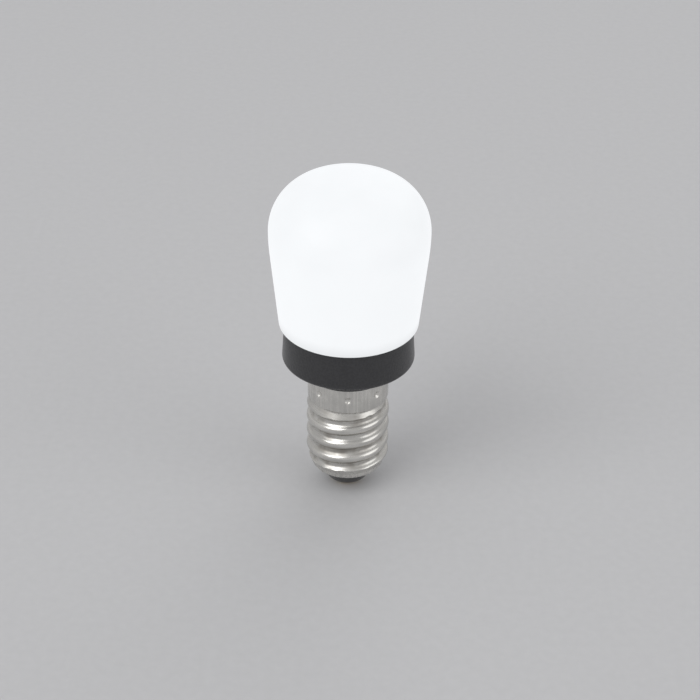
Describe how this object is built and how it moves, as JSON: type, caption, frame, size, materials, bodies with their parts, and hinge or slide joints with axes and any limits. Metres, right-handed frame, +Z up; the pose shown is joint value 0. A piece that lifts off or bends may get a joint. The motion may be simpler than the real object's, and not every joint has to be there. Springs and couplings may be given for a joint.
{
  "type": "led fridge bulb",
  "caption": "Small LED bulb with a tapered opal dome cover, a dark drafted collar and a small screw cap with a rolled round thread.",
  "frame": {"origin": "tip of the centre contact, on the bulb's axis, at the bottom of the whole bulb", "axes": "+Z runs up the bulb's axis from the screw cap to the top of the dome, as the bulb stands in the picture; X and Y are free, because the bulb is round"},
  "size_m": [0.026, 0.026, 0.058],
  "materials": {
    "opal_plastic": "lit opal white, satin",
    "dark_plastic": "dark grey moulded plastic, semi-gloss",
    "nickel_plate": "nickel plate on rolled sheet, satin bright",
    "black_insulator": "black, semi-gloss",
    "contact_metal": "plain brass, lightly polished"
  },
  "bodies": {
    "root": {"opal_cover": "opal_plastic", "collar_housing": "dark_plastic", "screw_shell": "nickel_plate", "cap_insulator": "black_insulator", "centre_contact": "contact_metal"}
  },
  "joints": []
}
